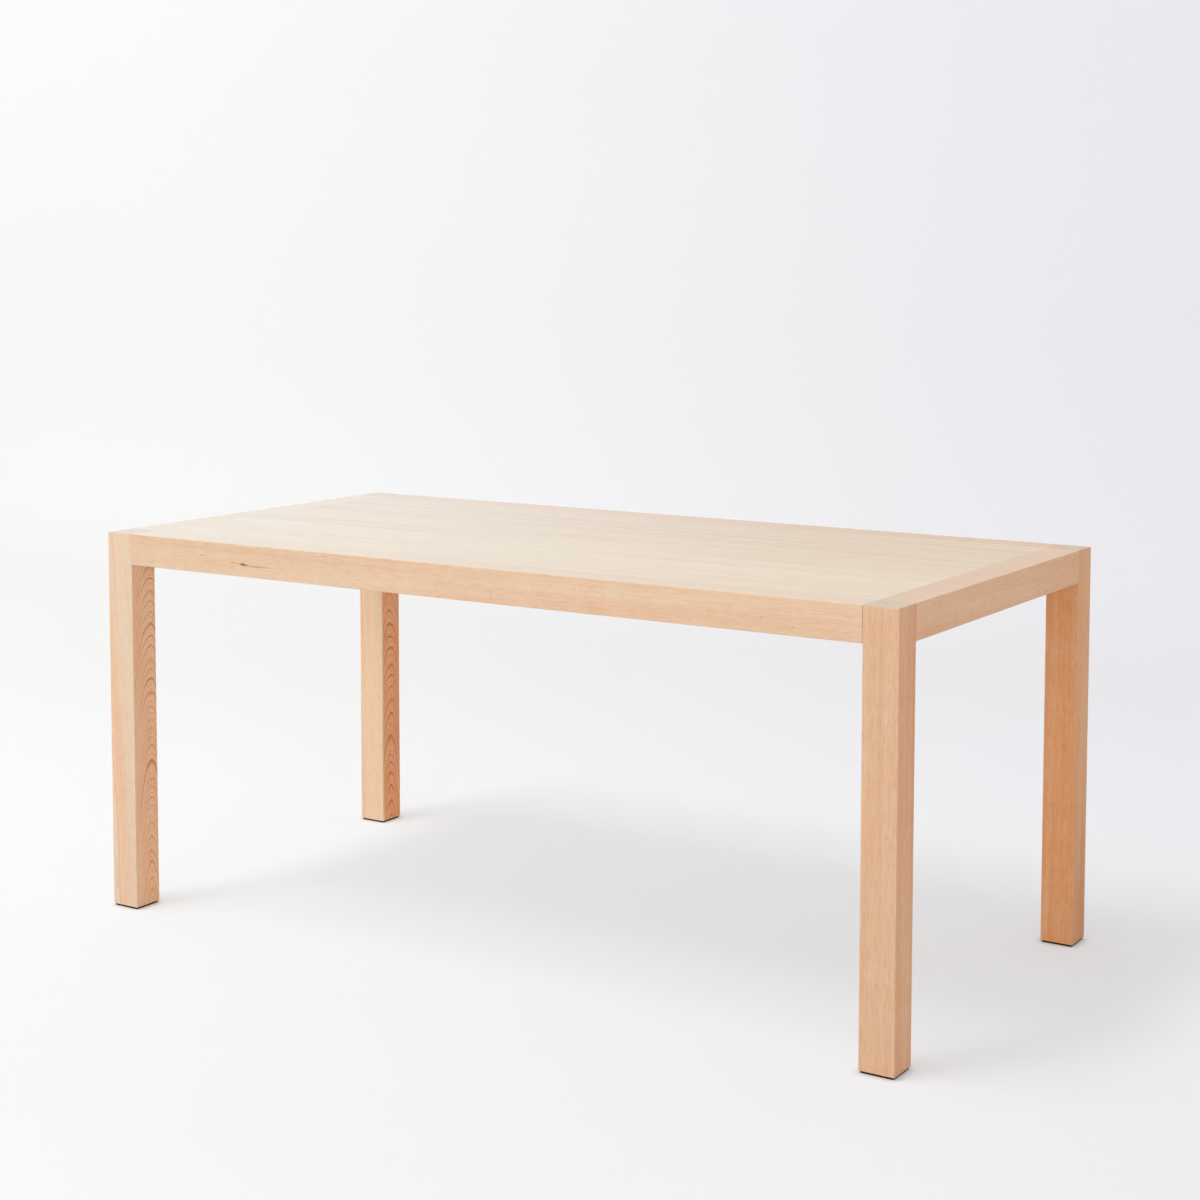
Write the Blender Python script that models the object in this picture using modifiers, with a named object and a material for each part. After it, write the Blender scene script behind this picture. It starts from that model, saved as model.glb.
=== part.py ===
"""A long dining table in solid maple: a flush frame of square stock round a board panel.

Lengths are in metres and +Z is up. The origin is on the floor, under the middle of the top.
+X runs along the table, and its front, one of the long sides, faces -Y.
"""

import math
from dataclasses import dataclass

import bmesh
import bpy
from mathutils import Matrix, Vector

# Overall size
TABLE_LENGTH = 1.700
TABLE_WIDTH = 0.850
TABLE_HEIGHT = 0.750

# Frame stock: a rail is as wide as a leg, so the two are flush inside and out
LEG_SIDE = 0.063
RAIL_HEIGHT = 0.061
EDGE_ROUND = 0.0012
EDGE_SEGMENTS = 2

# Tenons of the rails, which meet at a mitre in the middle of each leg
TENON_THICKNESS = 0.020
TENON_TOP_SHOULDER = 0.014
TENON_BOTTOM_SHOULDER = 0.011

# Panel of tongued and grooved boards, glued edge to edge
PANEL_THICKNESS = 0.022
BOARD_COUNT = 8
TONGUE_LENGTH = 0.006
TONGUE_THICKNESS = 0.006

# Cleats round the inside of the frame, which carry the edge of the panel
CLEAT_WIDTH = 0.022
CLEAT_HEIGHT = 0.022
SHORT_CLEAT_SCREWS = 3

# Bearers across the table, lapped into the long cleats
BEARER_COUNT = 3
BEARER_WIDTH = 0.045
BEARER_HEIGHT = 0.030
BEARER_LAP = 0.011

# Felt pads under the legs
PAD_INSET = 0.002
PAD_THICKNESS = 0.003

# Dome-headed wood screws, and how deep each kind bites
SCREW_RADIUS = 0.002
SCREW_TIP = 0.006
SCREW_HEAD_RADIUS = 0.0045
SCREW_HEAD_HEIGHT = 0.0026
SCREW_HEAD_STEPS = 3
SCREW_SIDES = 10
RAIL_BITE = 0.024
PANEL_BITE = 0.012
LAP_BITE = 0.007

# Clearance where pieces meet, and the room for the panel to swell across its boards
JOINT_GAP = 0.0003
SWELLING_GAP = 0.0015

# How far a cutter runs past the face that it enters, and the sides of a drilled hole
CUTTER_REACH = 0.010
HOLE_SIDES = 16

# Points closer than this are the same point
MERGE_DISTANCE = 0.00003

# Sizes and levels that follow from those above
INNER_LENGTH = TABLE_LENGTH - 2 * LEG_SIDE
INNER_WIDTH = TABLE_WIDTH - 2 * LEG_SIDE
RAIL_BOTTOM = TABLE_HEIGHT - RAIL_HEIGHT
TENON_TOP = TABLE_HEIGHT - TENON_TOP_SHOULDER
TENON_BOTTOM = RAIL_BOTTOM + TENON_BOTTOM_SHOULDER
LEG_BOTTOM = PAD_THICKNESS + JOINT_GAP
PANEL_BOTTOM = TABLE_HEIGHT - PANEL_THICKNESS
SEAT_LEVEL = PANEL_BOTTOM - JOINT_GAP
CLEAT_BOTTOM = SEAT_LEVEL - CLEAT_HEIGHT
LAP_LEVEL = SEAT_LEVEL - BEARER_LAP
BEARER_BOTTOM = SEAT_LEVEL - BEARER_HEIGHT
HOLE_RADIUS = SCREW_RADIUS + JOINT_GAP
BOARD_PITCH = (INNER_WIDTH - JOINT_GAP) / BOARD_COUNT
BOARD_FACE = BOARD_PITCH - JOINT_GAP
BOARD_LENGTH = INNER_LENGTH - 2 * JOINT_GAP
BAY_LENGTH = INNER_LENGTH / (BEARER_COUNT + 1)
BEARER_PLACES = [BAY_LENGTH * (i + 1) - INNER_LENGTH / 2 for i in range(BEARER_COUNT)]
SCREWED_BOARDS = (0, BOARD_COUNT // 2, BOARD_COUNT - 1)


@dataclass(frozen=True)
class Side:
    """One side: the length between its legs, the reach to its outer face, its cleat and screws."""

    inner: float
    reach: float
    cleat: float
    screws: int


LONG_SIDE = Side(INNER_LENGTH, TABLE_WIDTH / 2, INNER_LENGTH - 2 * JOINT_GAP, BEARER_COUNT + 1)
SHORT_SIDE = Side(INNER_WIDTH, TABLE_LENGTH / 2, INNER_WIDTH - 2 * CLEAT_WIDTH - 4 * JOINT_GAP,
                  SHORT_CLEAT_SCREWS)

UP = Vector((0, 0, 1))
OUTWARD = Vector((0, -1, 0))
ALONG_X = Matrix(((0, 0, 1, 0), (1, 0, 0, 0), (0, 1, 0, 0), (0, 0, 0, 1)))
QUARTER_TURN = math.pi / 2


# Scene, collections and materials
def clear_scene():
    """Take every object out of the scene."""
    for old in list(bpy.data.objects):
        bpy.data.objects.remove(old, do_unlink=True)


def new_collection(name):
    """A collection linked to the scene."""
    collection = bpy.data.collections.new(name)
    bpy.context.scene.collection.children.link(collection)
    return collection


def new_material(name, colour, roughness, metallic=0.0):
    """A plain surface of one colour."""
    material = bpy.data.materials.new(name)
    material.use_nodes = True
    shader = material.node_tree.nodes["Principled BSDF"]
    shader.inputs["Base Color"].default_value = (*colour, 1.0)
    shader.inputs["Roughness"].default_value = roughness
    shader.inputs["Metallic"].default_value = metallic
    return material


# Meshes
def to_mesh(bm, name):
    """A mesh made from a bmesh, which is freed."""
    mesh = bpy.data.meshes.new(name)
    bm.to_mesh(mesh)
    bm.free()
    return mesh


def box(low, high):
    """A bmesh block between two corners."""
    low, high = Vector(low), Vector(high)
    bm = bmesh.new()
    bmesh.ops.create_cube(bm, size=1.0, matrix=Matrix.LocRotScale((low + high) / 2, None, high - low))
    return bm


def evaluated_mesh(thing):
    """A plain mesh of an object as its modifiers leave it."""
    graph = bpy.context.evaluated_depsgraph_get()
    return bpy.data.meshes.new_from_object(thing.evaluated_get(graph))


def on_bench(name, data):
    """An object on the bench, where blanks, profiles and cutters are worked and not shown."""
    thing = bpy.data.objects.new(name, data)
    thing.hide_render = True
    thing.display_type = "WIRE"
    bench.objects.link(thing)
    return thing


def prism(name, outline, thickness):
    """A mesh of a flat outline in XY, thickened evenly up and down."""
    curve = bpy.data.curves.new(name, "CURVE")
    curve.dimensions = "2D"
    curve.fill_mode = "BOTH"
    curve.extrude = thickness / 2
    spline = curve.splines.new("POLY")
    spline.points.add(len(outline) - 1)
    for point, (x, y) in zip(spline.points, outline):
        point.co = (x, y, 0, 1)
    spline.use_cyclic_u = True
    drawn = on_bench(name, curve)
    mesh = evaluated_mesh(drawn)
    bpy.data.objects.remove(drawn)
    bm = bmesh.new()
    bm.from_mesh(mesh)
    bmesh.ops.remove_doubles(bm, verts=bm.verts, dist=MERGE_DISTANCE)
    bmesh.ops.recalc_face_normals(bm, faces=bm.faces)
    bm.to_mesh(mesh)
    bm.free()
    return mesh


def holes(name, places, direction, length, radius):
    """One mesh of round holes, each from its place along the same direction."""
    turn = UP.rotation_difference(direction).to_matrix().to_4x4()
    bm = bmesh.new()
    for place in places:
        middle = Vector(place) + direction * length / 2
        bmesh.ops.create_cone(bm, cap_ends=True, segments=HOLE_SIDES, radius1=radius, radius2=radius,
                              depth=length, matrix=Matrix.Translation(middle) @ turn)
    return to_mesh(bm, name)


def mark_edges(bm, wanted):
    """Mark the edges to be eased: wanted tells them by their two end points."""
    weights = bm.edges.layers.float.new("bevel_weight_edge")
    for edge in bm.edges:
        start, end = (corner.co for corner in edge.verts)
        edge[weights] = float(wanted(start, end))


def shaped(name, blank, join=None, cuts=()):
    """A blank with its marked edges eased, a mesh joined to it and others cut out of it."""
    piece = on_bench(name, to_mesh(blank, name) if isinstance(blank, bmesh.types.BMesh) else blank)
    ease = piece.modifiers.new("eased_edges", "BEVEL")
    ease.limit_method = "WEIGHT"
    ease.width = EDGE_ROUND
    ease.segments = EDGE_SEGMENTS
    tools = []
    for mesh in ([join] if join else []) + list(cuts):
        tool = on_bench(mesh.name, mesh)
        work = piece.modifiers.new(mesh.name, "BOOLEAN")
        work.operation = "UNION" if mesh is join else "DIFFERENCE"
        work.solver = "EXACT"
        work.object = tool
        tools.append(tool)
    mesh = evaluated_mesh(piece)
    mesh.name = name
    for used in [piece] + tools:
        bpy.data.objects.remove(used)
    return mesh


def near(a, b):
    """Whether two coordinates are the same corner's."""
    return abs(a - b) < JOINT_GAP


def both_near(start, end, axis, value):
    """Whether an edge lies in the plane where a coordinate has this value."""
    return near(start[axis], value) and near(end[axis], value)


# Pieces at a corner: its inner arris is at the origin, and the table lies towards +X and +Y
def leg_mesh():
    """A square leg with the two mortises that its rails' tenons meet in."""
    blank = box((-LEG_SIDE, -LEG_SIDE, LEG_BOTTOM), (0, 0, TABLE_HEIGHT))
    everything = blank.verts[:] + blank.edges[:] + blank.faces[:]
    bmesh.ops.bisect_plane(blank, geom=everything, plane_co=(0, 0, RAIL_BOTTOM), plane_no=UP)

    def eased(start, end):
        outside_x = both_near(start, end, 0, -LEG_SIDE)
        outside_y = both_near(start, end, 1, -LEG_SIDE)
        if not near(start.z, end.z):
            return (outside_x and outside_y) or min(start.z, end.z) < RAIL_BOTTOM - JOINT_GAP
        at_top = both_near(start, end, 2, TABLE_HEIGHT)
        return both_near(start, end, 2, LEG_BOTTOM) or (at_top and (outside_x or outside_y))

    mark_edges(blank, eased)
    middle = -LEG_SIDE / 2
    half = TENON_THICKNESS / 2
    floor, ceiling = TENON_BOTTOM - JOINT_GAP, TENON_TOP + JOINT_GAP
    near_side, far_side = middle - half - JOINT_GAP, middle + half + JOINT_GAP
    along_x = box((middle - half, near_side, floor), (CUTTER_REACH, far_side, ceiling))
    along_y = box((near_side, middle - half, floor), (far_side, CUTTER_REACH, ceiling))
    return shaped("leg", blank, cuts=(to_mesh(along_x, "mortise_x"), to_mesh(along_y, "mortise_y")))


def pad_mesh():
    """A felt pad, set in a little from the sides of the leg."""
    blank = box((PAD_INSET - LEG_SIDE, PAD_INSET - LEG_SIDE, 0), (-PAD_INSET, -PAD_INSET, PAD_THICKNESS))
    mark_edges(blank, lambda start, end: not near(start.z, end.z))
    return shaped("pad", blank)


# Pieces on a side: the side runs along X with the table's middle at the origin, facing -Y
def side_screw_places(side):
    """Where the screws of a cleat stand under their heads, one in the middle of each bay."""
    face = LEG_SIDE - side.reach + CLEAT_WIDTH + 2 * JOINT_GAP
    bay = side.cleat / side.screws
    level = SEAT_LEVEL - CLEAT_HEIGHT / 2
    return [Vector((bay * (i + 0.5) - side.cleat / 2, face, level)) for i in range(side.screws)]


def side_screw_length():
    """A cleat's screw, from under its head to its tip."""
    return CLEAT_WIDTH + 2 * JOINT_GAP + RAIL_BITE


def side_screw_holes(side):
    """The holes for a cleat's screws, through the cleat and into the rail."""
    starts = [place - OUTWARD * CUTTER_REACH for place in side_screw_places(side)]
    depth = CUTTER_REACH + side_screw_length() + JOINT_GAP
    return holes("side_screw_holes", starts, OUTWARD, depth, HOLE_RADIUS)


def rail_mesh(side):
    """A rail between two legs, with a tenon at each end that is mitred to meet its neighbour's."""
    half_length, reach = side.inner / 2 - JOINT_GAP, side.reach
    blank = box((-half_length, -reach, RAIL_BOTTOM), (half_length, LEG_SIDE - reach, TABLE_HEIGHT))

    def eased(start, end):
        along = not near(start.x, end.x)
        outer = both_near(start, end, 1, -reach)
        return along and (outer or both_near(start, end, 2, RAIL_BOTTOM))

    mark_edges(blank, eased)
    middle = LEG_SIDE / 2 - reach
    half = TENON_THICKNESS / 2
    to_centre = side.inner / 2 + LEG_SIDE / 2 - JOINT_GAP
    outline = [(-to_centre - half, middle - half), (to_centre + half, middle - half),
               (to_centre - half, middle + half), (-to_centre + half, middle + half)]
    tenons = prism("tenons", outline, TENON_TOP - TENON_BOTTOM)
    tenons.transform(Matrix.Translation(UP * (TENON_TOP + TENON_BOTTOM) / 2))
    return shaped("rail", blank, tenons, [side_screw_holes(side)])


def cleat_mesh(side, notches=()):
    """A strip along the inside of a rail, notched for the bearers that lie in it."""
    inside, end = LEG_SIDE - side.reach + JOINT_GAP, side.cleat / 2
    blank = box((-end, inside, CLEAT_BOTTOM), (end, inside + CLEAT_WIDTH, SEAT_LEVEL))
    cuts = [side_screw_holes(side)]
    half = BEARER_WIDTH / 2 + JOINT_GAP
    for place in notches:
        notch = box((place - half, inside - CUTTER_REACH, LAP_LEVEL - JOINT_GAP),
                    (place + half, inside + CLEAT_WIDTH + CUTTER_REACH, SEAT_LEVEL + CUTTER_REACH))
        cuts.append(to_mesh(notch, "notch"))
    if notches:
        starts = [(place, inside + CLEAT_WIDTH / 2, CLEAT_BOTTOM - CUTTER_REACH) for place in notches]
        cuts.append(holes("lap_holes", starts, UP, CUTTER_REACH + CLEAT_HEIGHT, HOLE_RADIUS))
    return shaped("cleat", blank, cuts=cuts)


# Bearers and boards: each in the place where it lies, or at the middle of the table's length
def lap_screw_reach():
    """How far from the table's middle line the screws through the bearers' ends stand."""
    return INNER_WIDTH / 2 - JOINT_GAP - CLEAT_WIDTH / 2


def board_middle(index):
    """The middle line of a board, counted from the back of the table."""
    return INNER_WIDTH / 2 - JOINT_GAP - BOARD_FACE / 2 - index * BOARD_PITCH


def bearer_mesh():
    """A bearer, cut away below at each end to lie in the notches of the long cleats."""
    half_width, half_length = BEARER_WIDTH / 2, INNER_WIDTH / 2 - JOINT_GAP
    blank = box((-half_width, -half_length, BEARER_BOTTOM), (half_width, half_length, SEAT_LEVEL))

    def eased(start, end):
        return not near(start.y, end.y) and both_near(start, end, 2, BEARER_BOTTOM)

    mark_edges(blank, eased)
    shoulder = half_length - CLEAT_WIDTH - JOINT_GAP
    past_side, past_end = half_width + CUTTER_REACH, half_length + CUTTER_REACH
    below = BEARER_BOTTOM - CUTTER_REACH
    front = box((-past_side, -past_end, below), (past_side, -shoulder, LAP_LEVEL))
    back = box((-past_side, shoulder, below), (past_side, past_end, LAP_LEVEL))
    lap_starts = [(0, side * lap_screw_reach(), LAP_LEVEL - CUTTER_REACH) for side in (-1, 1)]
    lap_depth = CUTTER_REACH + LAP_BITE + JOINT_GAP
    panel_starts = [(0, board_middle(index), below) for index in SCREWED_BOARDS]
    panel_depth = BEARER_HEIGHT + 2 * CUTTER_REACH
    cuts = [to_mesh(front, "front_lap"), to_mesh(back, "back_lap"),
            holes("lap_screw_holes", lap_starts, UP, lap_depth, HOLE_RADIUS),
            holes("panel_screw_holes", panel_starts, UP, panel_depth, SCREW_RADIUS + SWELLING_GAP)]
    return shaped("bearer", blank, cuts=cuts)


def board_mesh(grooved, tongued, screwed):
    """A board with a groove along its back edge and a tongue along its front edge."""
    half, face = PANEL_THICKNESS / 2, BOARD_FACE / 2
    tongue, groove = TONGUE_THICKNESS / 2, TONGUE_THICKNESS / 2 + JOINT_GAP
    outline = [(-face, -half), (face, -half)]
    if grooved:
        outline += [(face, -groove), (face - TONGUE_LENGTH, -groove),
                    (face - TONGUE_LENGTH, groove), (face, groove)]
    outline += [(face, half), (-face, half)]
    if tongued:
        outline += [(-face, tongue), (-face - TONGUE_LENGTH, tongue),
                    (-face - TONGUE_LENGTH, -tongue), (-face, -tongue)]
    mesh = prism("board", outline, BOARD_LENGTH)
    mesh.transform(ALONG_X)
    if not screwed:
        return mesh
    starts = [(place, 0, -half - CUTTER_REACH) for place in BEARER_PLACES]
    depth = CUTTER_REACH + PANEL_BITE + JOINT_GAP
    return shaped("board", mesh, cuts=[holes("board_holes", starts, UP, depth, HOLE_RADIUS)])


def screw_mesh(name, length):
    """A turned screw that points down, with the underside of its domed head at the origin."""
    outline = []
    for step in range(SCREW_HEAD_STEPS + 1):
        angle = QUARTER_TURN * step / SCREW_HEAD_STEPS
        outline.append((SCREW_HEAD_RADIUS * math.sin(angle), SCREW_HEAD_HEIGHT * math.cos(angle)))
    outline += [(SCREW_RADIUS, 0), (SCREW_RADIUS, SCREW_TIP - length), (0, -length)]
    bm = bmesh.new()
    points = [bm.verts.new((radius, 0, height)) for radius, height in outline]
    for upper, lower in zip(points, points[1:]):
        bm.edges.new((upper, lower))
    profile = on_bench(name, to_mesh(bm, name))
    turn = profile.modifiers.new("turned", "SCREW")
    turn.steps = turn.render_steps = SCREW_SIDES
    turn.use_merge_vertices = True
    turn.merge_threshold = MERGE_DISTANCE
    mesh = evaluated_mesh(profile)
    bpy.data.objects.remove(profile)
    mesh.shade_smooth()
    mesh.set_sharp_from_angle(angle=QUARTER_TURN / 2)
    return mesh


# Assembly
def put(name, mesh, material, parent, location=(0, 0, 0), rotation=(0, 0, 0)):
    """One piece of the table, in its place on its parent."""
    piece = bpy.data.objects.new(name, mesh)
    piece.parent = parent
    piece.location = location
    piece.rotation_euler = rotation
    if not mesh.materials:
        mesh.materials.append(material)
    table.objects.link(piece)
    return piece


def empty(name, parent=None, location=(0, 0, 0), quarter_turns=0):
    """A guide that carries the pieces of one corner or side, turned about the upright."""
    guide = bpy.data.objects.new(name, None)
    guide.parent = parent
    guide.location = location
    guide.rotation_euler = (0, 0, quarter_turns * QUARTER_TURN)
    table.objects.link(guide)
    return guide


def screw_turn(direction):
    """The rotation that points a screw along a direction."""
    return (-UP).rotation_difference(direction).to_euler()


def assemble_corners(whole):
    """The legs and their pads."""
    leg, pad = leg_mesh(), pad_mesh()
    x, y = INNER_LENGTH / 2, INNER_WIDTH / 2
    arrises = {"front_left": (-x, -y, 0), "front_right": (x, -y, 0),
               "back_right": (x, y, 0), "back_left": (-x, y, 0)}
    for turns, (corner, arris) in enumerate(arrises.items()):
        guide = empty(corner + "_corner", whole, arris, turns)
        put(corner + "_leg", leg, maple_frame, guide)
        put(corner + "_pad", pad, felt, guide)


def assemble_sides(whole):
    """The rails, their cleats and the screws that hold each cleat to its rail."""
    screw = screw_mesh("cleat_screw", side_screw_length())
    kinds = [(LONG_SIDE, rail_mesh(LONG_SIDE), cleat_mesh(LONG_SIDE, BEARER_PLACES)),
             (SHORT_SIDE, rail_mesh(SHORT_SIDE), cleat_mesh(SHORT_SIDE))]
    for turns, name in enumerate(("front", "right", "back", "left")):
        side, rail, cleat = kinds[turns % 2]
        guide = empty(name + "_side", whole, quarter_turns=turns)
        put(name + "_rail", rail, maple_frame, guide)
        put(name + "_cleat", cleat, maple_inner, guide)
        for number, place in enumerate(side_screw_places(side), 1):
            put(f"{name}_cleat_screw_{number}", screw, zinc, guide, place, screw_turn(OUTWARD))


def assemble_panel(whole):
    """The bearers with their screws, and the boards that lie on them."""
    bearer = bearer_mesh()
    lap_screw = screw_mesh("lap_screw", LAP_LEVEL + LAP_BITE - CLEAT_BOTTOM + JOINT_GAP)
    panel_screw = screw_mesh("panel_screw", BEARER_HEIGHT + PANEL_BITE + 2 * JOINT_GAP)
    for number, place in enumerate(BEARER_PLACES, 1):
        guide = empty(f"bearer_{number}_place", whole, (place, 0, 0))
        put(f"bearer_{number}", bearer, maple_inner, guide)
        for end, side in (("front", -1), ("back", 1)):
            under_cleat = (0, side * lap_screw_reach(), CLEAT_BOTTOM - JOINT_GAP)
            put(f"bearer_{number}_{end}_screw", lap_screw, zinc, guide, under_cleat, screw_turn(UP))
        for index in SCREWED_BOARDS:
            under_bearer = (0, board_middle(index), BEARER_BOTTOM - JOINT_GAP)
            put(f"panel_screw_{number}_{index + 1}", panel_screw, zinc, guide, under_bearer, screw_turn(UP))
    level = (TABLE_HEIGHT + PANEL_BOTTOM) / 2
    for index in range(BOARD_COUNT):
        board = board_mesh(index > 0, index < BOARD_COUNT - 1, index in SCREWED_BOARDS)
        put(f"top_board_{index + 1}", board, maple_panel, whole, (0, board_middle(index), level))


clear_scene()
table = new_collection("banquet_table")
bench = new_collection("bench")
maple_frame = new_material("maple_frame", (0.76, 0.54, 0.36), 0.45)
maple_panel = new_material("maple_panel", (0.80, 0.62, 0.45), 0.42)
maple_inner = new_material("maple_inner", (0.70, 0.50, 0.33), 0.60)
zinc = new_material("zinc_screw", (0.62, 0.60, 0.55), 0.35, 1.0)
felt = new_material("felt_pad", (0.045, 0.030, 0.022), 0.95)
origin = empty("table_origin")
assemble_corners(origin)
assemble_sides(origin)
assemble_panel(origin)
bpy.data.collections.remove(bench)
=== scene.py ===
"""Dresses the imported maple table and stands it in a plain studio.

The solid wood keeps its CAD nodes, and every piece gets the grain of the log that it was cut
from. The screws and the felt pads are made again with their finer forms. Lengths are in metres
in the row frame: +Z is up, +X runs along the table and its front faces -Y.
"""

import logging
import math
from dataclasses import dataclass, field, replace
from enum import Enum
from typing import Any, Dict, List, Mapping, Optional, Sequence, Tuple, Union

import bpy
from mathutils import Euler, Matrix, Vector


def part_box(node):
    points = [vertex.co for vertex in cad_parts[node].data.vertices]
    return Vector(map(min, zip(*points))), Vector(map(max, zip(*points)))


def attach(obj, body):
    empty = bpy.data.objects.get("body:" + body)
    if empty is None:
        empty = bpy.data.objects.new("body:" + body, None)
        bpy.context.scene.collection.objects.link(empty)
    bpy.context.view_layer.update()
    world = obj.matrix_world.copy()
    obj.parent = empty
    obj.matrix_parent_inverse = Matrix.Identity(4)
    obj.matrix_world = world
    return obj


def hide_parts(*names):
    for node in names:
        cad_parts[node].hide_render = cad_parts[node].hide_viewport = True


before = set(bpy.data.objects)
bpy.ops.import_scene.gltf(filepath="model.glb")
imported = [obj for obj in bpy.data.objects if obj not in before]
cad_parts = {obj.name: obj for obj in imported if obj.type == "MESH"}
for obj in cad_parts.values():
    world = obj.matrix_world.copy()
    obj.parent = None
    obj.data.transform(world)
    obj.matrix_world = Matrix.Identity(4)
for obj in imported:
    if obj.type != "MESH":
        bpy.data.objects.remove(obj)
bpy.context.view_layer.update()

LOG = logging.getLogger("banquet_table")

Triple = Tuple[float, float, float]
Span = Tuple[float, float]
Operand = Union["Value", float, Sequence[float]]

# The middle of a noise, and the tone of plain wood
MIDDLE = 0.5


def linear(red: int, green: int, blue: int) -> Triple:
    """Turns a colour as a screen shows it into the linear numbers that a shader takes.

    Args:
        red: red, from 0 to 255.
        green: green, from 0 to 255.
        blue: blue, from 0 to 255.

    Returns:
        The three linear parts, from 0 to 1.
    """
    # The screen's curve is straight near black and a power above that
    straight, slope, offset, power = 0.04045, 12.92, 0.055, 2.4
    parts = [part / 255 for part in (red, green, blue)]
    return tuple(p / slope if p <= straight else ((p + offset) / (1 + offset)) ** power for p in parts)


class Value:
    """An output socket of a node tree that works in Python expressions."""

    def __init__(self, graph: "Graph", socket: bpy.types.NodeSocket) -> None:
        """Keeps the socket and the graph that new nodes go into."""
        self.graph = graph
        self.socket = socket

    def math(self, operation: str, *operands: Operand) -> "Value":
        """Adds a Math node.

        Args:
            operation: the Math node's operation.
            operands: its inputs, in order.

        Returns:
            The node's result.
        """
        return self.graph.add("ShaderNodeMath", {"operation": operation}, dict(enumerate(operands)))

    def __add__(self, other: Operand) -> "Value":
        """self + other."""
        return self.math("ADD", self, other)

    def __radd__(self, other: Operand) -> "Value":
        """other + self."""
        return self.math("ADD", other, self)

    def __sub__(self, other: Operand) -> "Value":
        """self - other."""
        return self.math("SUBTRACT", self, other)

    def __rsub__(self, other: Operand) -> "Value":
        """other - self."""
        return self.math("SUBTRACT", other, self)

    def __mul__(self, other: Operand) -> "Value":
        """self * other."""
        return self.math("MULTIPLY", self, other)

    def __rmul__(self, other: Operand) -> "Value":
        """other * self."""
        return self.math("MULTIPLY", other, self)

    def __truediv__(self, other: Operand) -> "Value":
        """self / other."""
        return self.math("DIVIDE", self, other)

    def __rtruediv__(self, other: Operand) -> "Value":
        """other / self."""
        return self.math("DIVIDE", other, self)

    def __neg__(self) -> "Value":
        """-self."""
        return self.math("MULTIPLY", self, -1.0)

    def __abs__(self) -> "Value":
        """The size of the value, without its sign."""
        return self.math("ABSOLUTE", self)

    def whole(self) -> "Value":
        """The whole number at or below the value."""
        return self.math("FLOOR", self)

    def part(self) -> "Value":
        """What is left of the value above its whole number."""
        return self.math("FRACT", self)

    def above(self, other: Operand) -> "Value":
        """The larger of the value and another."""
        return self.math("MAXIMUM", self, other)

    def below(self, other: Operand) -> "Value":
        """1 where the value is less than another, and 0 elsewhere."""
        return self.math("LESS_THAN", self, other)

    def ramp(self, low: float, high: float) -> "Value":
        """Rises smoothly from 0 to 1.

        Args:
            low: the value where the rise starts.
            high: the value where it ends.

        Returns:
            The risen value, between 0 and 1.
        """
        ends = {"Value": self, "From Min": low, "From Max": high}
        return self.graph.add("ShaderNodeMapRange", {"interpolation_type": "SMOOTHSTEP"}, ends)


class Graph:
    """A node tree that is written as Python expressions."""

    def __init__(self, tree: bpy.types.NodeTree) -> None:
        """Keeps the tree that the nodes go into."""
        self.tree = tree

    def add(
        self,
        kind: str,
        settings: Optional[Mapping[str, Any]] = None,
        sockets: Optional[Mapping[Union[str, int], Any]] = None,
        output: Union[str, int] = 0,
    ) -> Optional[Value]:
        """Adds a node of any type.

        Args:
            kind: the node's type name.
            settings: its own settings, which are set first.
            sockets: values or links for its inputs, by name or number.
            output: the output that is returned, by name or number.

        Returns:
            That output, ready for more expressions, or None for a node that ends the tree.
        """
        node = self.tree.nodes.new(kind)
        for name, value in (settings or {}).items():
            setattr(node, name, value)
        for key, value in (sockets or {}).items():
            self.feed(node.inputs[key], value)
        return Value(self, node.outputs[output]) if node.outputs else None

    def feed(self, socket: bpy.types.NodeSocket, value: Any) -> None:
        """Links a value to an input, or sets the input to a number, colour or vector.

        Args:
            socket: the input.
            value: a Value, several Values for an input that joins, or a plain value.
        """
        if isinstance(value, Value):
            self.tree.links.new(value.socket, socket)
        elif isinstance(value, list):
            for one in value:
                self.tree.links.new(one.socket, socket)
        elif socket.type == "RGBA":
            socket.default_value = (*value, 1.0)
        else:
            socket.default_value = value

    def vector(self, operation: str, *operands: Operand, output: Union[str, int] = 0) -> Value:
        """Adds a Vector Math node.

        Args:
            operation: the node's operation.
            operands: its inputs, in order.
            output: the output that is returned.

        Returns:
            The node's result.
        """
        inputs = dict(enumerate(operands))
        return self.add("ShaderNodeVectorMath", {"operation": operation}, inputs, output)

    def dot(self, first: Operand, second: Operand) -> Value:
        """The dot product of two vectors."""
        return self.vector("DOT_PRODUCT", first, second, output="Value")

    def length(self, vector: Operand) -> Value:
        """The length of a vector."""
        return self.vector("LENGTH", vector, output="Value")

    def axis(self, vector: Value, letter: str) -> Value:
        """The part of a vector along X, Y or Z."""
        return self.add("ShaderNodeSeparateXYZ", None, {0: vector}, letter)

    def mix(self, factor: Operand, first: Operand, second: Operand, blend: str = "MIX") -> Value:
        """Mixes two colours.

        Args:
            factor: 0 for the first colour and 1 for the second.
            first: a colour.
            second: another colour.
            blend: how the second colour meets the first.

        Returns:
            The mixed colour.
        """
        settings = {"data_type": "RGBA", "blend_type": blend}
        return self.add("ShaderNodeMix", settings, {0: factor, 6: first, 7: second}, 2)

    def seen(self) -> Value:
        """1 for rays from the camera, from gloss and through glass, and 0 for other rays."""
        kinds = ("Camera", "Glossy", "Transmission")
        rays = [self.add("ShaderNodeLightPath", output=f"Is {kind} Ray") for kind in kinds]
        return rays[0].above(rays[1]).above(rays[2])


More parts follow.
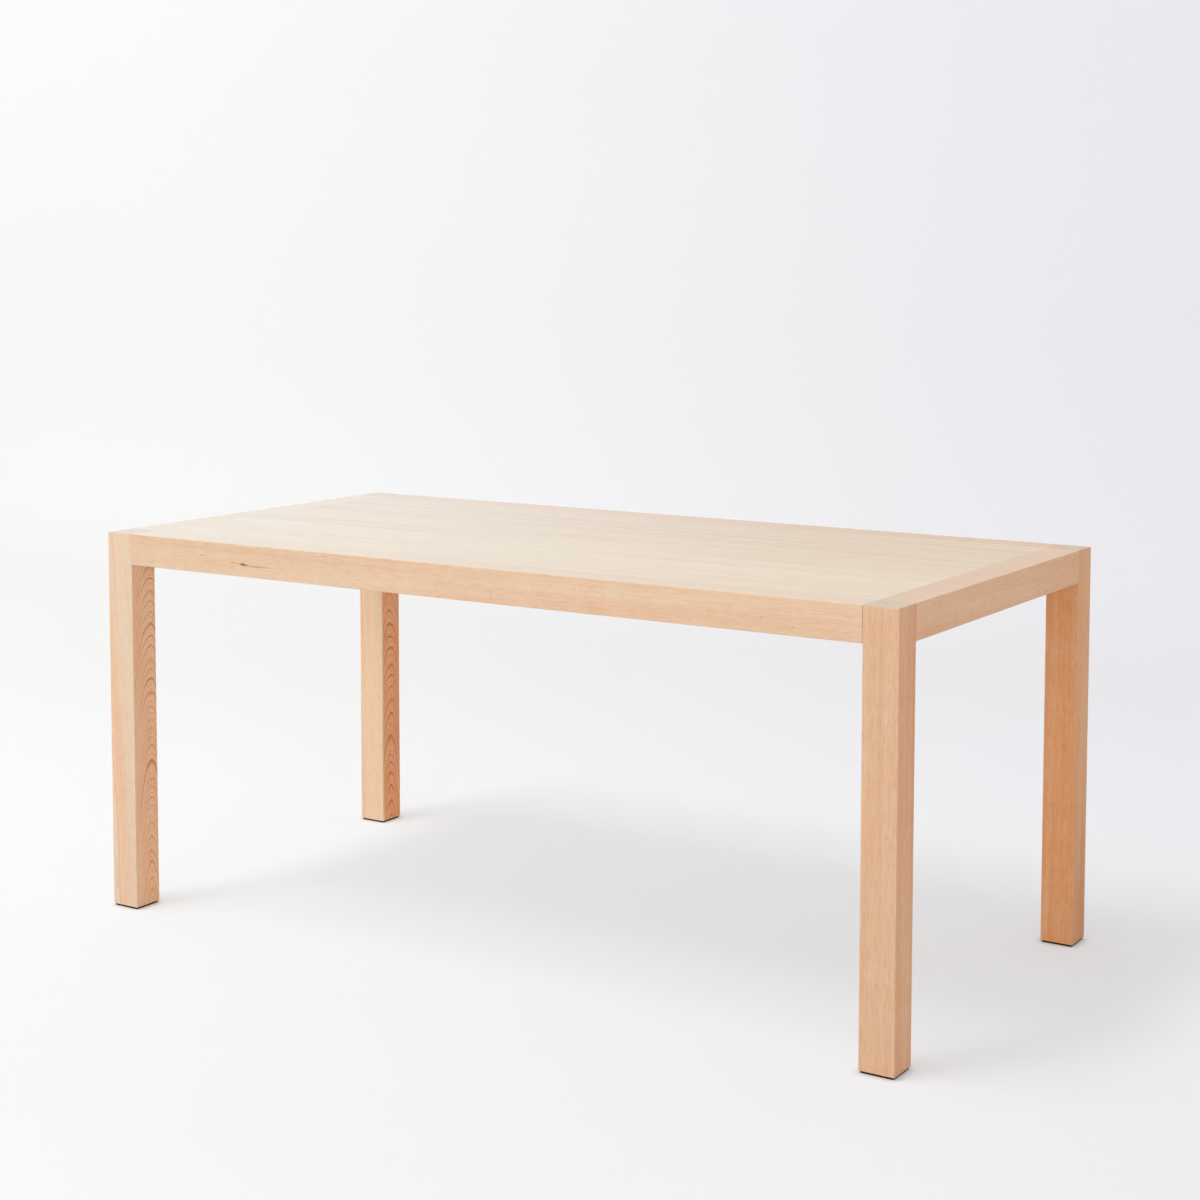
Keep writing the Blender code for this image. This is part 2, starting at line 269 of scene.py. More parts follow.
class Shading(Graph):
    """The node tree of one new material."""

    def __init__(self, name: str) -> None:
        """Starts an empty material with that name."""
        self.material = bpy.data.materials.new(name)
        self.material.use_nodes = True
        self.material.node_tree.nodes.clear()
        super().__init__(self.material.node_tree)

    def finish(self, shader: Value) -> bpy.types.Material:
        """Sends a shader to the material's output.

        Args:
            shader: the finished shader.

        Returns:
            The material.
        """
        self.add("ShaderNodeOutputMaterial", None, {"Surface": shader})
        return self.material


@dataclass(frozen=True)
class Waves:
    """A noise that is stretched along each axis.

    Attributes:
        scale: waves to the metre along each axis.
        seed: moves the noise to another place.
        detail: how many finer waves are added.
        roughness: how strong the finer waves are.
    """

    scale: Triple
    seed: float = 0.0
    detail: float = 2.0
    roughness: float = 0.55

    def read(self, s: Shading, at: Value, seed: float = 0.0, output: str = "Fac") -> Value:
        """Adds the noise to a material.

        Args:
            s: the material's tree.
            at: where the noise is read.
            seed: what the noise is moved by besides.
            output: "Fac" for a value or "Color" for three.

        Returns:
            The noise, about 0.5 in the middle.
        """
        seed += self.seed
        # Each axis moves in its own way, so that no two seeds share a place
        offset = (seed, 1.7 * seed + 3.1, 5.3 - seed)
        spread = s.vector("MULTIPLY_ADD", at, self.scale, offset)
        sockets = {"Vector": spread, "Scale": 1.0, "Detail": self.detail, "Roughness": self.roughness}
        return s.add("ShaderNodeTexNoise", {"noise_dimensions": "3D"}, sockets, output)

    def sway(self, s: Shading, at: Value, seed: float, reach: float) -> Value:
        """A wandering offset across the grain, which bends the rings.

        Args:
            s: the material's tree.
            at: where it is read, in the log's own axes.
            seed: what the noise is moved by besides.
            reach: the size of the offset in metres.

        Returns:
            The offset as a vector with no part along the grain.
        """
        wander = self.read(s, at, seed, "Color")
        return s.vector("MULTIPLY_ADD", wander, (0, reach, reach), (0, -reach / 2, -reach / 2))


class GrainAxis(Enum):
    """The row axis that the grain runs along, as the turn in degrees that lays a log on it."""

    LENGTH = (0.0, 0.0, 0.0)
    WIDTH = (0.0, 0.0, 90.0)
    HEIGHT = (0.0, -90.0, 0.0)

    def stretch(self, along: float, across: float) -> Triple:
        """Gives a size along the grain and across it.

        Args:
            along: the number for the grain's own axis.
            across: the number for the two other axes.

        Returns:
            The three numbers in the row's axes.
        """
        axis = list(GrainAxis).index(self)
        return tuple(along if place == axis else across for place in range(3))


@dataclass(frozen=True)
class Mark:
    """A knot, streak or speck in the wood, or a patch of painted shade.

    Attributes:
        place: its middle, in the row frame.
        along: half its length along the grain.
        across: half its width across the grain.
        depth: how dark it is, from 0 to 1.
        swell: how far it pushes the rings aside, in metres.
        pushed: how many times its own size the pushed rings reach.
        core: the part of its size that is darkest.
    """

    place: Triple
    along: float
    across: float
    depth: float
    swell: float = 0.0
    pushed: float = 3.0
    core: float = 0.15

    def reach(self, s: Shading, place: Value, axis: GrainAxis, spread: float = 1.0) -> Value:
        """How near the surface is to the mark's middle.

        Args:
            s: the material's tree.
            place: the point in the row frame.
            axis: the axis that the grain runs along.
            spread: how many times the mark's own size this reaches.

        Returns:
            1 at the mark's middle, and 0 at its edge.
        """
        size = axis.stretch(1 / (self.along * spread), 1 / (self.across * spread))
        away = s.vector("SUBTRACT", place, self.place)
        return 1 - s.length(s.vector("MULTIPLY", away, size)).ramp(self.core, 1.0)


@dataclass(frozen=True)
class Sapwood:
    """A paler layer along one edge of a piece.

    Attributes:
        edge: a point on the edge, in the row frame.
        way: the way out of the wood, across the layer.
        depth: where the layer ends, measured from the edge.
        blur: the width of that soft limit.
        gain: how much paler it is.
        tint: what its colour is multiplied by.
        even: how far its rings fade.
    """

    edge: Triple
    way: Triple
    depth: float
    blur: float
    gain: float
    tint: Triple = (1.0, 1.0, 1.0)
    even: float = 0.8


@dataclass(frozen=True)
class Grain:
    """How one piece was cut from its log.

    Attributes:
        axis: the row axis that the grain runs along.
        pith: where the log's middle line passes the piece's middle, away from that middle.
        lean: the log's turn about its two cross axes in degrees, which draws arches.
        ring: the mean width of a year's ring.
        tone: above 0 for paler wood and below 0 for browner.
        contrast: how much the rings stand out.
        flecks: how much the short dark flecks stand out.
        fade: how much of the painted sheen its upper face takes, beside other pieces.
        sapwood: the outer edge that paler sapwood lies along, if there is any.
        marks: the knots, streaks and specks that can be told apart, and patches of painted shade.
        seed: moves every noise to another place.
        bend: how much of the usual bends the log's rings have.
    """

    axis: GrainAxis
    pith: Triple
    lean: Span = (0.0, 0.0)
    ring: float = 0.0028
    tone: float = 0.0
    contrast: float = 1.0
    flecks: float = 1.0
    fade: float = 1.0
    sapwood: Optional[Sapwood] = None
    marks: Tuple[Mark, ...] = ()
    seed: float = 0.0
    bend: float = 1.0

    def turn(self) -> Triple:
        """The log's turn in the row frame, as an Euler in radians."""
        lie = Euler([math.radians(angle) for angle in self.axis.value]).to_matrix()
        lean = Euler((0.0, math.radians(self.lean[0]), math.radians(self.lean[1]))).to_matrix()
        return tuple((lie @ lean).to_euler())


@dataclass(frozen=True)
class Growth:
    """How maple grows: the lines of its years and the noises of its wood.

    Attributes:
        bends: the noises that bend the rings, each with its reach in metres.
        changes: how often to the metre the rings' spacing changes.
        uneven: how uneven that spacing is, in years.
        late_span: where in a year its dark line starts, and where it is darkest.
        faintest: the strength of the faintest year's line.
        fine_lines: how many finer lines there are to a year.
        fine_span: where such a line starts, and where it is darkest.
        fine_share: the strength of the finer lines.
        broad: the broad changes of tone.
        figure: the mottled figure.
        streak: the long streaks.
        dash: the short dashes.
        fibre: the fibres.
        fibre_span: where a fibre starts to show, and where it shows in full.
        fleck: the short flecks.
        fleck_span: where a fleck starts to show, and where it shows in full.
    """

    bends: Sequence[Tuple[Waves, float]] = (
        (Waves((0.9, 7.0, 7.0)), 0.024),
        (Waves((7.0, 60.0, 60.0), 11.0), 0.0022),
    )
    changes: float = 190.0
    uneven: float = 1.3
    late_span: Span = (0.70, 0.92)
    faintest: float = 0.45
    fine_lines: float = 2.37
    fine_span: Span = (0.60, 0.92)
    fine_share: float = 0.35
    broad: Waves = Waves((0.6, 17.0, 17.0), 23.0)
    figure: Waves = Waves((26.0, 8.0, 8.0), 53.0)
    streak: Waves = Waves((1.7, 75.0, 75.0), 31.0, 3.0)
    dash: Waves = Waves((34.0, 380.0, 380.0), 37.0, 3.0)
    fibre: Waves = Waves((60.0, 1100.0, 1100.0), 41.0)
    fibre_span: Span = (0.52, 0.75)
    fleck: Waves = Waves((70.0, 800.0, 800.0), 61.0, 1.0)
    fleck_span: Span = (0.60, 0.80)

    @staticmethod
    def line(year: Value, start: float, darkest: float) -> Value:
        """A line that darkens slowly in the course of a year and ends sharply with it."""
        return year.ramp(start, darkest) * (1 - year.ramp(darkest, 1.0))

    def rings(self, s: Shading, place: Value, log: Value, grain: Grain) -> Value:
        """The dark end of each year's ring.

        Args:
            s: the material's tree.
            place: the point in the row frame.
            log: the point in the log's own axes.
            grain: how the piece was cut.

        Returns:
            0 in early wood, and up to 1 at the end of a year.
        """
        bent = log
        for waves, reach in self.bends:
            bent = s.vector("ADD", bent, waves.sway(s, log, grain.seed, reach * grain.bend))
        radius = s.length(s.vector("MULTIPLY", bent, (0, 1, 1)))
        for mark in grain.marks:
            if mark.swell:
                radius = radius + mark.swell * mark.reach(s, place, grain.axis, mark.pushed)
        one_way = {"noise_dimensions": "1D"}
        sockets = {"W": self.changes * radius + grain.seed, "Scale": 1.0, "Detail": 1.0}
        spacing = s.add("ShaderNodeTexNoise", one_way, sockets)
        years = radius / grain.ring + self.uneven * spacing
        weight = s.add("ShaderNodeTexWhiteNoise", one_way, {"W": years.whole() + grain.seed})
        late = self.line(years.part(), *self.late_span)
        late = late * (self.faintest + (1 - self.faintest) * weight)
        fine = self.line((self.fine_lines * years).part(), *self.fine_span)
        return late + self.fine_share * (1 - late) * fine


@dataclass(frozen=True)
class Maple:
    """Maple under a clear finish.

    Attributes:
        pale: the palest wood.
        tan: the brownest wood.
        late: what the end of a year's ring is tinted with.
        fleck: the colour of the short flecks.
        knot: the colour of knots and streaks, and of patches of painted shade.
        end: what end grain is tinted with.
        growth: the rings and noises of the wood.
        roughness: the finish's mean roughness.
        streak_rough: how much rougher the streaks are.
        line_rough: how much rougher the rings' lines are.
        gloss: the strength of the mirror-like part of the finish.
        coat: how much clear coat lies on the faces that look up, at the left end and at the right.
        coat_roughness: the roughness of that coat.
        ends: where the table's left and right ends are along X.
        painted_sheen_colour: the pale colour of the painted sheen on the faces that look up.
        painted_sheen: how strongly that sheen is painted on them.
        up_span: how far a face looks up where the coat and the painted sheen start and where they are
            full.
        end_span: how squarely a face cuts the grain where end grain starts and where it is full.
        end_depth: how far end grain is tinted.
        relief: the depth of the open grain.
        bump: how strongly the open grain catches the light.
        fibre_height: the fibres' part in the open grain.
        line_height: the part of the rings' lines and the flecks in it.
        lines: how much the rings' lines show where a piece's contrast is 1.
        streaks: how much the long streaks show.
        dashes: how much the short dashes show.
        clouds: how much the broad changes of tone show.
        mottle: how much the mottled figure shows.
        fibres: how much the fibres show.
        specks: how much the flecks show.
    """

    pale: Triple
    tan: Triple
    late: Triple = linear(176, 100, 56)
    fleck: Triple = linear(150, 98, 58)
    knot: Triple = linear(132, 58, 30)
    end: Triple = linear(212, 190, 164)
    growth: Growth = Growth()
    roughness: float = 0.42
    streak_rough: float = 0.10
    line_rough: float = 0.08
    gloss: float = 0.05
    coat: Span = (0.0, 0.0)
    coat_roughness: float = 0.15
    ends: Span = (-0.85, 0.85)
    painted_sheen_colour: Triple = linear(245, 227, 200)
    painted_sheen: float = 0.0
    up_span: Span = (0.5, 0.9)
    end_span: Span = (0.6, 0.9)
    end_depth: float = 0.65
    relief: float = 0.00025
    bump: float = 0.35
    fibre_height: float = 0.6
    line_height: float = 0.5
    lines: float = 0.30
    streaks: float = 0.55
    dashes: float = 0.60
    clouds: float = 0.65
    mottle: float = 0.22
    fibres: float = 0.22
    specks: float = 0.30

    def material(self, name: str, grain: Grain, middle: Vector) -> bpy.types.Material:
        """Makes the material of one piece.

        Args:
            name: the material's name.
            grain: how the piece was cut.
            middle: the middle of the piece.

        Returns:
            The material.
        """
        s, wood, seed = Shading(name), self.growth, grain.seed
        place = s.add("ShaderNodeTexCoord", output="Object")
        pith = tuple(middle + Vector(grain.pith))
        lie = {"Vector": place, "Location": pith, "Rotation": grain.turn()}
        log = s.add("ShaderNodeMapping", {"vector_type": "TEXTURE"}, lie)
        late = wood.rings(s, place, log, grain)
        noises = (wood.broad, wood.figure, wood.streak, wood.dash)
        broad, figure, streak, dash = (waves.read(s, log, seed) - MIDDLE for waves in noises)
        fibre = wood.fibre.read(s, log, seed)
        fleck = wood.fleck.read(s, log, seed).ramp(*wood.fleck_span)

        tone = MIDDLE + grain.tone + self.clouds * broad + self.mottle * figure
        tone = tone + self.streaks * streak + self.dashes * dash
        pale = grain.sapwood
        if pale is not None:
            out = s.dot(s.vector("SUBTRACT", place, pale.edge), pale.way) + pale.blur * streak
            outer = out.ramp(-pale.depth - pale.blur / 2, pale.blur / 2 - pale.depth)
            tone = tone + pale.gain * outer
            late = late * (1 - pale.even * outer)
        colour = s.mix(tone.above(0.0), self.tan, self.pale)
        if pale is not None:
            colour = s.mix(outer, colour, pale.tint, "MULTIPLY")
        colour = s.mix(self.lines * grain.contrast * late, colour, self.late)
        colour = s.mix(self.fibres * fibre.ramp(*wood.fibre_span), colour, self.late)
        colour = s.mix(self.specks * grain.flecks * fleck, colour, self.fleck)
        # The marks darken toward the knot colour; one of them is painted shade
        for mark in grain.marks:
            colour = s.mix(mark.depth * mark.reach(s, place, grain.axis), colour, self.knot)

        facing = s.add("ShaderNodeTexCoord", output="Normal")
        line = tuple(Euler(grain.turn()).to_matrix() @ Vector((1, 0, 0)))
        end = abs(s.dot(facing, line)).ramp(*self.end_span)
        up = s.axis(facing, "Z").ramp(*self.up_span)
        # Painted sheen: the faces that look up are painted paler, as the finish's sheen would show them
        colour = s.mix(self.painted_sheen * grain.fade * up, colour, self.painted_sheen_colour)
        colour = s.mix(self.end_depth * end, colour, self.end)
        left, right = self.coat
        top = up * (left + (right - left) * s.axis(place, "X").ramp(*self.ends))

        rough = self.roughness + self.streak_rough * streak + self.line_rough * late
        height = self.fibre_height * fibre + self.line_height * (late + fleck)
        bump = {"Strength": self.bump, "Distance": self.relief, "Height": 1 - height}
        sockets = {
            "Base Color": colour, "Roughness": rough, "Normal": s.add("ShaderNodeBump", None, bump),
            "Coat Weight": top, "Coat Roughness": self.coat_roughness, "Specular IOR Level": self.gloss,
        }
        return s.finish(s.add("ShaderNodeBsdfPrincipled", None, sockets))


@dataclass(frozen=True)
class Zinc:
    """Bright zinc plating with a faint yellow haze.

    Attributes:
        bright: the clean metal.
        haze: the dulled metal.
        cloud: the noise of the haze.
        haze_span: where in it the haze starts and where it is full.
        grit: the noise of the plating's grain.
        roughness: the mean roughness.
        cloud_rough: how much rougher the haze is.
        grit_rough: how much the grain changes the roughness.
        relief: the depth of the grain.
        bump: how strongly the grain catches the light.
    """

    bright: Triple = (0.66, 0.65, 0.62)
    haze: Triple = (0.52, 0.48, 0.38)
    cloud: Waves = Waves((300.0, 300.0, 300.0), 4.0, 3.0)
    haze_span: Span = (0.35, 0.7)
    grit: Waves = Waves((5200.0, 5200.0, 5200.0), 9.0)
    roughness: float = 0.34
    cloud_rough: float = 0.25
    grit_rough: float = 0.12
    relief: float = 0.00005
    bump: float = 0.2

    def material(self, name: str) -> bpy.types.Material:
        """Makes the plating's material.

        Args:
            name: the material's name.

        Returns:
            The material.
        """
        s = Shading(name)
        place = s.add("ShaderNodeTexCoord", output="Object")
        cloud, grit = self.cloud.read(s, place), self.grit.read(s, place)
        colour = s.mix(cloud.ramp(*self.haze_span), self.bright, self.haze)
        rough = self.roughness + self.cloud_rough * (cloud - MIDDLE) + self.grit_rough * (grit - MIDDLE)
        bump = {"Strength": self.bump, "Distance": self.relief, "Height": grit}
        normal = s.add("ShaderNodeBump", None, bump)
        sockets = {"Base Color": colour, "Roughness": rough, "Metallic": 1.0, "Normal": normal}
        return s.finish(s.add("ShaderNodeBsdfPrincipled", None, sockets))


@dataclass(frozen=True)
class Felt:
    """Dark brown pressed felt.

    Attributes:
        dark: the colour between the fibres.
        light: the colour of the fibres on top.
        matted: the noise of the matted wool.
        hair: the noise of its single hairs.
        hair_share: the part that the hairs have in the shade.
        light_span: where in the shade the light colour starts and where it is full.
        roughness: the roughness of the wool.
        gloss: the strength of its sheen.
        relief: the depth of the matted wool.
        bump: how strongly it catches the light.
    """

    dark: Triple = linear(30, 14, 6)
    light: Triple = linear(78, 40, 20)
    matted: Waves = Waves((420.0, 420.0, 900.0), 2.0, 3.0)
    hair: Waves = Waves((2600.0, 2600.0, 4200.0), 7.0)
    hair_share: float = 0.4
    light_span: Span = (0.35, 0.7)
    roughness: float = 0.95
    gloss: float = 0.1
    relief: float = 0.0004
    bump: float = 0.6

    def material(self, name: str) -> bpy.types.Material:
        """Makes the felt's material.

        Args:
            name: the material's name.

        Returns:
            The material.
        """
        s = Shading(name)
        place = s.add("ShaderNodeTexCoord", output="Object")
        matted, hair = self.matted.read(s, place), self.hair.read(s, place)
        shade = (1 - self.hair_share) * matted + self.hair_share * hair
        colour = s.mix(shade.ramp(*self.light_span), self.dark, self.light)
        bump = {"Strength": self.bump, "Distance": self.relief, "Height": shade}
        sockets = {
            "Base Color": colour, "Roughness": self.roughness, "Specular IOR Level": self.gloss,
            "Normal": s.add("ShaderNodeBump", None, bump),
        }
        return s.finish(s.add("ShaderNodeBsdfPrincipled", None, sockets))


@dataclass(frozen=True)
class StudioPaper:
    """The seamless white paper of the studio, which glows with painted light and can't be seen from
    behind.

    Attributes:
        colour: the paper's colour for the light that it throws back.
        shown: the part of that colour that the camera, reflections and glass see.
        lift_left: the painted even light that they see besides at the left.
        lift_right: the same at the right.
        floor_lift: what the floor has more of it than the bend.
        floor_way: the way along which that fades out.
        floor_span: where the fade starts and ends along that way.
        wall_drop: what the wall has less of it than the bend.
        wall_span: where that starts along Y, and where it is reached.
        contact: how far from a foot the even light fades.
        samples: how many times that fade is looked for.
        across: the way in which the light falls off.
        span: where the fall starts and ends along that way.
    """

    colour: Triple = (0.80, 0.80, 0.81)
    shown: Triple = (0.55, 0.55, 0.55)
    lift_left: Triple = (0.437, 0.442, 0.426)
    lift_right: Triple = (0.298, 0.297, 0.322)
    floor_lift: Triple = (0.034, 0.054, 0.069)
    floor_way: Triple = (-0.55, 0.84, 0.0)
    floor_span: Span = (0.6, 3.0)
    wall_drop: Triple = (0.055, 0.070, 0.078)
    wall_span: Span = (3.5, 5.0)
    # contact: how far from a foot the painted even light fades, which paints a contact shadow.
    contact: float = 0.015
    samples: int = 8
    across: Triple = (0.84, 0.55, 0.0)
    span: Span = (-2.8, 3.2)

    def material(self, name: str) -> bpy.types.Material:
        """Makes the paper's material.

        Args:
            name: the material's name.

        Returns:
            The material.
        """
        s = Shading(name)
        place = s.add("ShaderNodeTexCoord", output="Object")
        right = s.dot(place, self.across).ramp(*self.span)
        floor = 1 - s.dot(place, self.floor_way).ramp(*self.floor_span)
        # Painted light: the paper's glow is brighter at the left, stronger on the floor and weaker on
        # the wall
        even = s.mix(floor, s.mix(right, self.lift_left, self.lift_right), self.floor_lift, "ADD")
        even = s.mix(s.axis(place, "Y").ramp(*self.wall_span), even, self.wall_drop, "SUBTRACT")
        # Painted contact shadow: the glow is dimmed near the feet
        near = {"Distance": self.contact}
        clear = s.add("ShaderNodeAmbientOcclusion", {"samples": self.samples}, near, "AO")
        lift = {"Color": s.mix(clear, (0.0, 0.0, 0.0), even), "Strength": 1.0}
        paper = s.add("ShaderNodeBsdfDiffuse", None, {"Color": self.colour})
        part = s.add("ShaderNodeBsdfDiffuse", None, {"Color": self.shown})
        shown = s.add("ShaderNodeAddShader", None, {0: part, 1: s.add("ShaderNodeEmission", None, lift)})
        front = s.add("ShaderNodeMixShader", None, {0: s.seen(), 1: paper, 2: shown})
        behind = s.add("ShaderNodeNewGeometry", output="Backfacing")
        through = s.add("ShaderNodeBsdfTransparent")
        return s.finish(s.add("ShaderNodeMixShader", None, {0: behind, 1: front, 2: through}))


class SocketKind(Enum):
    """The kinds of input that a Geometry Nodes tree takes here."""

    SHAPE = "NodeSocketGeometry"
    LENGTH = "NodeSocketFloat"
    COUNT = "NodeSocketInt"
    FINISH = "NodeSocketMaterial"


class Repeater(Graph):
    """A Geometry Nodes tree that makes what repeats."""

    def __init__(self, name: str, inputs: Mapping[str, SocketKind]) -> None:
        """Starts a tree.

        Args:
            name: the tree's name.
            inputs: its named inputs after the shape that it starts from.
        """
        tree = bpy.data.node_groups.new(name, "GeometryNodeTree")
        super().__init__(tree)
        face = tree.interface
        face.new_socket("Shape", in_out="INPUT", socket_type=SocketKind.SHAPE.value)
        self.keys: Dict[str, str] = {}
        for label, kind in inputs.items():
            item = face.new_socket(label, in_out="INPUT", socket_type=kind.value)
            self.keys[label] = item.identifier
        face.new_socket("Shape", in_out="OUTPUT", socket_type=SocketKind.SHAPE.value)
        self.source = tree.nodes.new("NodeGroupInput")

    def given(self, label: str) -> Value:
        """The tree's own input of that name."""
        return Value(self, self.source.outputs[label])

    def close(self, shape: Value) -> None:
        """Realizes the instances, gives them their finish and ends the tree.

        Args:
            shape: everything that the tree has made.
        """
        real = self.add("GeometryNodeRealizeInstances", None, {0: shape})
        finished = {"Geometry": real, "Material": self.given("Finish")}
        self.add("NodeGroupOutput", None, {0: self.add("GeometryNodeSetMaterial", None, finished)})

    def place(self, shape: Value, move: Any = (0, 0, 0), turn: Triple = (0, 0, 0)) -> Value:
        """Moves and turns a shape inside the tree.

        Args:
            shape: the shape.
            move: its offset.
            turn: its turn in radians.

        Returns:
            The moved shape.
        """
        sockets = {"Geometry": shape, "Translation": move, "Rotation": turn}
        return self.add("GeometryNodeTransform", None, sockets)

    def chance(self, low: Any, high: Any) -> Value:
        """Draws a random number or vector for each point.

        Args:
            low: the least number, or the least of each part of a vector.
            high: the greatest.

        Returns:
            The number or vector.
        """
        kind, output = ("FLOAT", 1) if isinstance(low, float) else ("FLOAT_VECTOR", 0)
        sockets = {"Min": low, "Max": high, "Seed": self.given("Seed")}
        return self.add("FunctionNodeRandomValue", {"data_type": kind}, sockets, output)

    def point(self, x: Operand = 0.0, y: Operand = 0.0, z: Operand = 0.0) -> Value:
        """A vector from three numbers, some of them worked out in the tree."""
        return self.add("ShaderNodeCombineXYZ", None, {0: x, 1: y, 2: z})

    def run(self, mesh: bpy.types.Mesh, name: str, values: Mapping[str, Any]) -> bpy.types.Object:
        """Runs the tree on a mesh and keeps the result as a plain mesh.

        Args:
            mesh: the mesh that it starts from.
            name: the finished piece's name.
            values: a value for each named input.

        Returns:
            The finished piece, at the origin.
        """
        start = bpy.data.objects.new(name + "_start", mesh)
        bpy.context.scene.collection.objects.link(start)
        repeat = start.modifiers.new("repeat", "NODES")
        repeat.node_group = self.tree
        for label, value in values.items():
            repeat[self.keys[label]] = value
        depsgraph = bpy.context.evaluated_depsgraph_get()
        made = bpy.data.meshes.new_from_object(start.evaluated_get(depsgraph), depsgraph=depsgraph)
        start.modifiers.remove(repeat)
        bpy.data.objects.remove(start)
        made.name = name
        piece = bpy.data.objects.new(name, made)
        bpy.context.scene.collection.objects.link(piece)
        return piece


def middle_of(node: str) -> Vector:
    """The middle of a CAD node's box."""
    low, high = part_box(node)
    return (low + high) / 2


def coat(node: str, finish: Maple, grain: Grain) -> None:
    """Gives a CAD node of solid wood the grain of its own log.

    Args:
        node: the node's name.
        finish: the maple that it is made of.
        grain: how it was cut.
    """
    material = finish.material(node + "_maple", grain, middle_of(node))
    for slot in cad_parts[node].material_slots:
        slot.material = material
    LOG.info("%s: %s grain", node, grain.axis.name.lower())


# The frame's faces that look up carry a painted sheen as well as their coat
FRAME_MAPLE = Maple(
    pale=linear(237, 211, 180), tan=linear(217, 153, 103), roughness=0.36, coat=(0.9, 0.25), painted_sheen=0.8
)


@dataclass
class Frame:
    """The four legs and four rails of the flush frame.

    Attributes:
        finish: the maple of the frame.
        red_finish: the redder maple of the left legs.
        brown_finish: the browner maple of the far right leg.
        leg_side: the side of a leg.
        top: the level of the top.
        left_end: where the table's left end is along X.
        front: where the front face is along Y.
    """

    finish: Maple = FRAME_MAPLE
    red_finish: Maple = replace(
        FRAME_MAPLE, pale=linear(251, 217, 182), tan=linear(240, 162, 104), late=linear(190, 96, 52)
    )
    brown_finish: Maple = replace(FRAME_MAPLE, pale=linear(243, 213, 178), tan=linear(229, 156, 99))
    leg_side: float = 0.063
    top: float = 0.750
    left_end: float = -0.850
    front: float = -0.425

    def on_front(self, along: float, below: float) -> Triple:
        """A point of the front face.

        Args:
            along: how far it is from the table's left end.
            below: how far it is below the top.

        Returns:
            The point in the row frame.
        """
        return (self.left_end + along, self.front, self.top - below)

    def front_marks(self) -> Tuple[Mark, ...]:
        """The pin knot with its tail, and the lesser streaks and specks of the front rail."""
        return (
            Mark(self.on_front(0.351, 0.0370), 0.0105, 0.0032, 0.90, 0.004),
            Mark(self.on_front(0.358, 0.0382), 0.0095, 0.0026, 0.60),
            Mark(self.on_front(0.388, 0.0392), 0.046, 0.0026, 0.36),
            Mark(self.on_front(0.332, 0.0355), 0.016, 0.0016, 0.30),
            Mark(self.on_front(0.250, 0.0270), 0.012, 0.0014, 0.42),
            Mark(self.on_front(0.115, 0.051), 0.011, 0.0013, 0.35),
            Mark(self.on_front(0.925, 0.051), 0.004, 0.0012, 0.60),
            Mark(self.on_front(1.458, 0.036), 0.004, 0.0012, 0.60),
            Mark(self.on_front(1.515, 0.047), 0.004, 0.0012, 0.50),
            Mark(self.on_front(1.637, 0.030), 0.0018, 0.060, 0.55),
        )

    def legs(self) -> Dict[str, Grain]:
        """How each leg was cut.

        Returns:
            The grain of each leg's node.
        """
        up = GrainAxis.HEIGHT
        right_end, back = -self.left_end, -self.front
        inner = self.left_end + self.leg_side
        near = Sapwood(
            edge=(inner, self.front, 0.0), way=(0.06, -0.998, 0.0), depth=0.004, blur=0.006, gain=0.02,
            tint=(0.87, 0.93, 0.96),
        )
        far = Sapwood(
            edge=(inner, back - self.leg_side, 0.0), way=(0.05, -0.999, 0.0), depth=0.004, blur=0.006,
            gain=0.53, tint=(0.96, 0.96, 0.93),
        )
        right = Sapwood(
            edge=(right_end, 0.0, 0.0), way=(1.0, 0.0, 0.0), depth=0.002, blur=0.003, gain=0.16,
            tint=(0.90, 0.97, 1.0),
        )
        # Painted shade: the right face of the back right leg is painted darker towards the floor
        foot = Mark(place=(right_end, back - 0.02, 0.02), along=0.42, across=0.032, depth=0.17)
        return {
            "front_left_leg": Grain(
                up, (-0.0435, 0.013, 0.0), (-4.5, -0.1), ring=0.0019, tone=0.31, contrast=2.4,
                sapwood=near, seed=1.3, bend=0.55,
            ),
            "front_right_leg": Grain(
                up, (-0.06, -0.07, 0.0), (0.2, -0.2), tone=-0.01, contrast=0.2, seed=7.9
            ),
            "back_right_leg": Grain(
                up, (-0.05, -0.06, 0.0), (0.4, 0.3), tone=-0.33, contrast=0.3, flecks=1.3, fade=0.5,
                sapwood=right, marks=(foot,), seed=14.2,
            ),
            "back_left_leg": Grain(
                up, (-0.0585, -0.002, 0.0), (-3.4, 0.2), ring=0.0019, tone=-0.08, contrast=3.2,
                sapwood=far, seed=21.7, bend=0.55,
            ),
        }

    def rails(self) -> Dict[str, Grain]:
        """How each rail was cut.

        Returns:
            The grain of each rail's node.
        """
        along, across = GrainAxis.LENGTH, GrainAxis.WIDTH
        return {
            "front_rail": Grain(
                along, (0, 0.11, 0.05), (0.2, 0.3), tone=0.17, contrast=0.2, flecks=0.6,
                marks=self.front_marks(), seed=31.1,
            ),
            "right_rail": Grain(
                across, (-0.09, 0, 0.06), (0.5, 0.6), tone=0.17, contrast=0.15, flecks=0.6, fade=0.36,
                seed=38.4,
            ),
            "back_rail": Grain(
                along, (0, -0.10, 0.07), (0.3, -0.2), tone=-0.02, contrast=0.3, fade=0.55, seed=45.9
            ),
            "left_rail": Grain(
                across, (0.10, 0, 0.05), (-0.5, 0.4), tone=0.18, contrast=0.3, seed=52.6
            ),
        }

    def dress(self) -> None:
        """Gives every leg and rail its grain."""
        others = {
            "front_left_leg": self.red_finish,
            "back_left_leg": self.red_finish,
            "back_right_leg": self.brown_finish,
        }
        for node, grain in {**self.legs(), **self.rails()}.items():
            coat(node, others.get(node, self.finish), grain)


